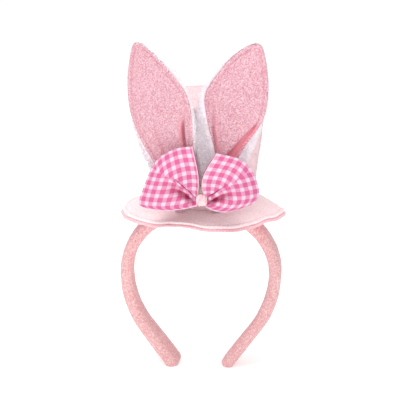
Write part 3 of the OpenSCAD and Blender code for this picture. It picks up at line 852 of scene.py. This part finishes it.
left_ear = Ear(
    -1, 16.0, 28.8, 22.0,
    inner=[(0, -0.95), (60, -0.90), (104, -0.92), (118, -0.80), (130, -0.70), (145, -0.72)],
    outer=[(0, 0.95), (12, 0.95), (24, 0.70), (47, 0.84), (60, 0.96), (72, 1.02), (82, 1.03), (100, 1.0),
           (110, 0.98), (132, 0.94), (145, 0.92)],
    creases=[([(-0.80, 98), (-0.68, 86), (-0.60, 76), (-0.59, 66), (-0.65, 56), (-0.66, 40)], 3.3, 1.3, 1.5),
             ([(0.34, 76), (0.26, 62), (0.18, 48), (0.12, 36)], 1.2, 1.8, 0.8)],
    fold=None,
    trim=([(0, 1.3), (145, 1.0)], [(30, 0.5), (45, -1.2), (80, -1.0), (100, 0.8), (145, 0.8)]))
right_ear = Ear(
    1, 12.8, 26.8, -6.0,
    inner=[(0, -0.95), (12, -0.95), (24, -0.45), (50, -0.40), (74, -0.68), (86, -0.82), (97, -0.94),
           (104, -0.97), (120, -0.86), (145, -0.88)],
    outer=[(0, 0.95), (12, 0.95), (24, 0.55), (50, 0.58), (62, 0.70), (71, 0.84), (80, 0.96), (92, 1.0), (145, 0.98)],
    creases=[([(-0.80, 108), (-0.70, 96), (-0.56, 84), (-0.50, 70), (-0.40, 56), (-0.28, 42)], 1.9, 1.1, 0.9)],
    fold=[(0.90, 81), (0.72, 76.8), (0.52, 69), (0.32, 60.8), (0.05, 51.3), (-0.12, 40)],
    trim=([(0, 1.0), (30, -1.0), (60, -2.2), (125, -2.2), (145, -0.8)], [(0, 1.0), (145, 0.6)]))


def ear_body(name, ear):
    """The plush back of the ear and its stuffing: a soft closed form, a little thinner at its edges."""
    rows, cols = 130, 52
    h = np.concatenate([np.linspace(0, 132, rows - 18, endpoint=False), 132 + 12.9 * np.sin(np.linspace(0, 1.45, 18))])
    turn = np.linspace(0, 2 * math.pi, cols, endpoint=False)
    across = np.sign(np.cos(turn)) * np.abs(np.cos(turn)) ** 0.7
    depth = np.sign(np.sin(turn)) * np.abs(np.sin(turn)) ** 0.7
    hh, aa = np.meshgrid(h, across, indexing="ij")
    _, dd = np.meshgrid(h, depth, indexing="ij")
    w = ear.width(hh)
    thin = np.minimum(1, (w / 9) ** 0.7)
    full = 1 + 0.25 * (1 - aa ** 2)
    back = BODY_MID + 2.9 * thin * dd * np.where(dd > 0, full, 1.0)
    lo, hi = ear.panel_edges(hh)
    under = smooth_step((aa - lo) / 0.12) * smooth_step((hi - aa) / 0.12) * np.maximum(-dd, 0)
    back = back + 2.0 * under * thin
    trim = np.where(aa < 0, np.interp(hh, *zip(*ear.trim[0])), np.interp(hh, *zip(*ear.trim[1])))
    p = ear.point(aa * (1 - trim / np.maximum(w, 3)), hh, back)
    n = grid_normals(p)
    q = p.reshape(-1, 3)
    soft = (field(q, 14, 41) * 0.5 + field(q, 4, 42) * 0.25).reshape(hh.shape)
    p = p + n * (soft * thin)[..., None]
    quads, faces = tube_faces(rows, cols)
    ob = make(name, p, faces, fur_skin)
    return ob, p.reshape(-1, 3), quads, aa.reshape(-1), dd.reshape(-1), hh.reshape(-1)


def ear_fur(name, ear, points, quads, across, depth, heights):
    """Plush pile over the ear's back and rim, and over the border that the front panel leaves bare."""
    s = across[quads].mean(1)
    d = depth[quads].mean(1)
    h = heights[quads].mean(1)
    lo, hi = ear.panel_edges(h)
    hidden = (d < 0.1) & (s > lo + 0.03) & (s < hi - 0.03) & (h < 142)
    chance = np.where(hidden, 0.0, np.where(d < 0.3, 2.6, 1.0)) * np.where(h < 12, 0.0, 1.0)
    root, normal, pick = on_surface(points, quads, 9000, chance)
    centre = ear.point(0 * s[pick], h[pick], BODY_MID)
    normal = outward(normal, root, centre)
    rim = np.clip(np.abs(s[pick]) - 0.75, 0, 1)[:, None] * 4
    side = np.sign(s[pick])[:, None] * ear.side
    sweep = np.concatenate([0.45 * side * (0.3 + rim), 0 * side, -0.25 + 0 * side], 1)
    way = normal * 0.62 + sweep * 0.8 + rng.normal(0, 0.30, (len(root), 3))
    way /= np.linalg.norm(way, axis=1, keepdims=True)
    tip = np.clip((EAR_H - h[pick]) / 60, 0.25, 1)
    length = rng.uniform(2.4, 4.6, len(root)) * (0.45 + 0.55 * tip)
    fringe = 1 + 0.5 * (ear.side < 0) * lump(h[pick] - 48, 26) * (s[pick] > 0)
    length *= (1 - 0.5 * smooth_step(rim[:, 0] * 1.5)) * fringe
    return strands(name, root, way, length, 0.5, np.array([0, 0, -0.6]), fur_pile)


def ear_panel(name, ear):
    """The speckled front panel: a thin pillow with a sewn groove inside its edge and pressed creases."""
    rows, cols = 210, 92
    h = np.concatenate([np.linspace(1.0, 128, rows - 30, endpoint=False), 128 + 15.6 * np.sin(np.linspace(0, 1.5, 30))])
    lo, hi = ear.panel_edges(h)
    k = np.linspace(-1, 1, cols)
    k = np.sign(k) * (1 - (1 - np.abs(k)) ** 1.25)
    s = lo[:, None] + (hi - lo)[:, None] * (k[None, :] + 1) / 2
    hh = np.repeat(h[:, None], cols, 1)
    front, shade, crease_shade = ear.panel(s, hh)
    behind = ear.point(s, hh, PANEL_BACK)
    n = rows * cols
    points = np.concatenate([front.reshape(-1, 3), behind.reshape(-1, 3)])
    faces = grid_faces(rows, cols).tolist() + grid_faces(rows, cols, start=n, flip=True).tolist()
    faces += rim_faces(rows, cols, n)[1]
    # both float attributes are painted shade for the terry: coral along fold lips and beside creases, and darker in the
    # creases
    return make(name, points, faces, terry, floats={"fold": np.tile(shade.ravel(), 2), "crease_shade": np.tile(crease_shade.ravel(), 2)})


def ear_seam(name, ear):
    """Stitches in the panel's groove, up one side and down the other."""
    h = np.linspace(12, 138.5, 220)
    lo, hi = ear.panel_edges(h)
    w = ear.width(h)
    slope_lo = np.gradient(ear.flat(lo, h), h)
    slope_hi = np.gradient(ear.flat(hi, h), h)
    s_lo = lo + GROOVE * np.sqrt(1 + slope_lo ** 2) / w
    s_hi = hi - GROOVE * np.sqrt(1 + slope_hi ** 2) / w
    keep = s_lo < s_hi - 0.05
    path_s = np.concatenate([s_lo[keep], s_hi[keep][::-1]])
    path_h = np.concatenate([h[keep], h[keep][::-1]])
    p, _, _ = ear.panel(path_s, path_h)
    p[:, 1] -= 0.15
    normals = np.tile([0.0, -1.0, 0.1], (len(p), 1))
    return beads(name, p, normals, 2.3, 1.1, 0.3, thread_rose)


for label, ear in (("left", left_ear), ("right", right_ear)):
    body, points, quads, across, depth, heights = ear_body(f"ear_{label}_plush", ear)
    fur = ear_fur(f"ear_{label}_fur", ear, points, quads, across, depth, heights)
    panel = ear_panel(f"ear_{label}_panel", ear)
    seam = ear_seam(f"ear_{label}_stitches", ear)
    low, high = ear.point(0.0, BEND_LOW, 3.0) * MM, ear.point(0.0, BEND_HIGH, 3.0) * MM
    for piece in (body, fur, panel, seam):
        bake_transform(piece)
    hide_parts(f"ear_{label}_root", f"ear_{label}_back", f"ear_{label}_foam")
    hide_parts(f"ear_{label}_front")
    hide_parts(f"ear_{label}_stitching")

# ------------------------------------------------------------------ bow

KNOT = np.array([5.0, -72.0, 33.5])


def bow_loop(name, fold, pinch, ridge_at, ridge_bow, bottom_bow, top_bow, depth, tuck_deep, seed):
    """A gathered loop of ribbon: front layer with a ridge and a deep tuck below it, a fold, and a back layer."""
    cols = 121
    v = np.linspace(0, 1, cols)
    ridge = int(round(ridge_at * (cols - 1)))
    edge = spline(fold, cols)
    knot = np.array(pinch[0])[None] * (1 - v[:, None]) + np.array(pinch[1])[None] * v[:, None]
    up = np.where(v < ridge_at, v / ridge_at, (1 - v) / (1 - ridge_at))
    low = np.clip(1 - v / ridge_at, 0, 1) ** 1.5
    high = np.clip(1 - (1 - v) / (1 - ridge_at), 0, 1) ** 1.5
    tuck_shades = []

    def layer(f, back):
        bend = math.sin(math.pi * f ** 0.85)
        flat = knot + (edge - knot) * f
        flat = flat + bend * (up[:, None] ** 1.5 * np.array(ridge_bow) + low[:, None] * np.array(bottom_bow)
                              + high[:, None] * np.array(top_bow))
        length = np.linalg.norm(np.diff(flat, axis=0), axis=1).sum()
        x = (v - ridge_at) * length
        swell = math.sin(math.pi * min(1.0, f ** 1.2 * 0.985)) ** 0.72
        full = depth * swell + 2.0 * (1 - f)
        if back:
            y = 0.8 * full * (0.75 + 0.25 * np.sin(math.pi * v)) + 2 * f * f
            y = y + 0.7 * math.sin(math.pi * f) * np.sin(v * 21 + 2 * f)
        else:
            near = 1 - float(smooth_step((f - 0.12) / 0.62))
            y = -0.62 * full * (0.62 + 0.38 * np.sin(math.pi * np.clip(v, 0, 1)) ** 0.7) + 2 * f * f
            y = y - 2.6 * swell * (1 - 0.55 * f) * lump(x, 2.2 + 5.5 * f)
            valley = near * min(1, 6 * f) * lump(x + 2.2 + 8 * f, 1.1 + 4.6 * f)
            crease = near * min(1, 6 * f) * lump(x - 2.0 - 1.5 * f, 0.7)
            y = y + tuck_deep * valley + 2.2 * crease
            # painted shade mask for the gingham: strongest in the tuck's valley and on its crease
            tuck_shades.append(np.clip(valley + 0.8 * crease, 0, 1))
            y = y - 0.4 * swell * lump(v, 0.10)
        return np.stack([KNOT[0] + flat[:, 0], KNOT[1] + y, KNOT[2] + flat[:, 1]], 1)

    front = [layer(f, False) for f in np.linspace(0.0, 1.0, 54) ** 0.9]
    behind = [layer(f, True) for f in np.linspace(1.0, 0.0, 40)]
    a, b = front[-1], behind[0]
    mid, gap = (a + b) / 2, np.abs(b[:, 1] - a[:, 1])[:, None] / 2
    away = edge - knot
    away = away / np.linalg.norm(away, axis=1, keepdims=True)
    out = np.stack([away[:, 0], 0 * v, away[:, 1]], 1)
    arc = [mid + out * gap * math.sin(q) + np.array([0, -1, 0]) * gap * math.cos(q)
           for q in np.linspace(0, math.pi, 7)[1:-1]]
    p = np.array(front + arc + behind)
    p[..., 1] += (field(p.reshape(-1, 3), 9, seed) * 0.35).reshape(p.shape[:2])
    nf = len(front)

    steps = np.linalg.norm(np.diff(p, axis=1), axis=2)
    wide = steps[nf - 1].sum()
    from_low = np.concatenate([np.zeros((len(p), 1)), np.cumsum(steps, 1)], 1)
    from_high = wide - (from_low[:, -1:] - from_low)
    share = np.clip((np.arange(len(p)) - nf + 1) / 6, 0, 1)[:, None]
    fold_line = from_low[nf - 1][None]
    v_low = from_low * (1 - share) + fold_line * share
    v_high = from_high * (1 - share) + fold_line * share
    runs = np.linalg.norm(np.diff(p, axis=0), axis=2)
    u = np.concatenate([np.zeros((1, cols)), np.cumsum(runs, 0)])
    u = u - u[nf + 1][None]
    rows = len(p)
    cell = np.arange(cols - 1)
    v_cells = np.where((cell < ridge)[None, :, None], np.stack([v_low[:, :-1], v_low[:, 1:]], -1),
                       np.stack([v_high[:, :-1], v_high[:, 1:]], -1))
    uv = np.zeros((rows - 1, cols - 1, 4, 2))
    for corner, (di, dj) in enumerate(((0, 0), (0, 1), (1, 1), (1, 0))):
        uv[:, :, corner, 0] = u[di:rows - 1 + di, dj:cols - 1 + dj]
        uv[:, :, corner, 1] = v_cells[di:rows - 1 + di, :, dj]

    normal = grid_normals(p)
    thick = 0.25
    points = np.concatenate([(p + normal * thick).reshape(-1, 3), (p - normal * thick).reshape(-1, 3)])
    n = rows * cols
    top, under = grid_faces(rows, cols), grid_faces(rows, cols, start=n, flip=True)
    flat_uv = uv.reshape(-1, 4, 2)
    ring, rim = rim_faces(rows, cols, n)
    rim_uv = np.zeros((len(rim), 4, 2))
    for m, (i, j) in enumerate(ring):
        rim_uv[m, :, 0] = u[i, j]
        rim_uv[m, :, 1] = v_low[i, j] if j < ridge else v_high[i, j]
    corner_uv = np.concatenate([flat_uv, flat_uv[:, ::-1], rim_uv])
    near_edge = np.minimum(from_low, from_low[:, -1:] - from_low)
    hem = np.clip(1.25 - near_edge / 0.8, 0, 0.85)
    # painted shade for the front layer's tucks; the fold and the back layer get none
    tuck = np.zeros(p.shape[:2])
    tuck[:nf] = tuck_shades
    ob = make(name, points, top.tolist() + under.tolist() + rim, gingham, corner_uv,
              floats={"hem": np.tile(hem.ravel(), 2), "tuck": np.tile(tuck.ravel(), 2)})
    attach(ob, "hat")
    return ob


left_loop = bow_loop(
    "bow_left_ribbon",
    fold=[(-46.0, -9.4), (-50.3, -6.0), (-47.2, 5.2), (-39.6, 23.6), (-31.4, 33.3), (-19.0, 39.4), (-7.6, 41.2)],
    pinch=[(-4.0, -6.4), (-4.2, 1.0)], ridge_at=0.50, ridge_bow=(-1.6, 6.0), bottom_bow=(0.0, -1.6),
    top_bow=(3.0, 0.0), depth=13.0, tuck_deep=6.5, seed=51)
right_loop = bow_loop(
    "bow_right_ribbon",
    fold=[(35.5, -6.7), (41.2, -3.8), (45.0, 3.5), (43.2, 13.0), (38.0, 23.5), (28.8, 31.4), (11.0, 35.8)],
    pinch=[(3.0, -7.2), (2.6, 1.6)], ridge_at=0.53, ridge_bow=(0.0, 0.6), bottom_bow=(0.0, -3.2),
    top_bow=(-5.6, 0.0), depth=13.0, tuck_deep=6.5, seed=57)
for ob, node, wide, long, cut in ((left_loop, "bow_left_loop", 0.074, 0.104, 0.0046),
                                  (right_loop, "bow_right_loop", 0.064, 0.092, 0.0036)):
    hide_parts(node)


def bow_knot_mesh():
    """Satin band wrapped round the gathers, with soft folds along its wrap."""
    turns, rows, half = 56, 30, 4.4
    a = np.linspace(0, 2 * math.pi, turns, endpoint=False)
    shell = []
    for xx in np.linspace(-half, half, rows):
        edge = abs(xx) / half
        r = 4.8 - 1.3 * edge ** 2.4 + 0.28 * np.cos(2 * math.pi * xx / 2.5 + 0.9 * np.sin(a + 0.6)) \
            + 0.25 * np.sin(2 * a + 0.4 * xx)
        shell.append(np.stack([KNOT[0] + xx + 0 * a, KNOT[1] - 1.4 + r * 0.98 * np.cos(a),
                               KNOT[2] - 1.6 + r * np.sin(a)], 1))
    for xx in np.linspace(half, -half, rows):
        r = 3.3 - 0.3 * (abs(xx) / half) ** 2 + 0 * a
        shell.append(np.stack([KNOT[0] + xx * 0.98 + 0 * a, KNOT[1] - 1.4 + r * np.cos(a),
                               KNOT[2] - 1.6 + r * np.sin(a)], 1))
    p = np.array(shell)
    faces = grid_faces(len(p), turns, wrap=True).tolist()
    last = (len(p) - 1) * turns
    faces += [[last + k, last + (k + 1) % turns, (k + 1) % turns, k] for k in range(turns)]
    return make("bow_knot_satin", p, faces, satin)


knot = bow_knot_mesh()
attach(knot, "hat")
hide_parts("bow_knot")

# ------------------------------------------------------------------ what stays from the CAD model

inside = {
    "core_middle": core_plastic, "core_left": core_plastic, "core_right": core_plastic,
    "padding_middle": foam_white, "padding_left": foam_white, "padding_right": foam_white,
    "glue_bead": glue_wax, "bow_glue": glue_wax, "brim_board": board_pale,
    "crown_liner": board_pale, "crown_lid_disc": board_pale, "crown_filling": fibre_white,
    "bow_middle": gingham, "bow_thread": thread_pale,
}
for node, material in inside.items():
    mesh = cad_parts[node].data
    mesh.materials.clear()
    mesh.materials.append(material)

# ------------------------------------------------------------------ floor

FLOOR_GAP, FLOOR_HALF = 0.0004, 6
floor_z = cad_box[0].z - FLOOR_GAP
floor_corners = [(x * FLOOR_HALF, y * FLOOR_HALF, floor_z) for x, y in ((-1, -1), (1, -1), (1, 1), (-1, 1))]
floor_mesh = bpy.data.meshes.new("floor")
floor_mesh.from_pydata(floor_corners, [], [(0, 1, 2, 3)])
floor = bpy.data.objects.new("floor", floor_mesh)
bpy.context.scene.collection.objects.link(floor)
paper = Nodes("floor_paper")
paper.set(paper.shader, Base_Color=(0.93, 0.93, 0.925, 1), Roughness=0.9, Specular_IOR_Level=0.1,
          Emission_Color=(1, 1, 0.99, 1), Emission_Strength=0.33)
floor_mesh.materials.append(paper.material)
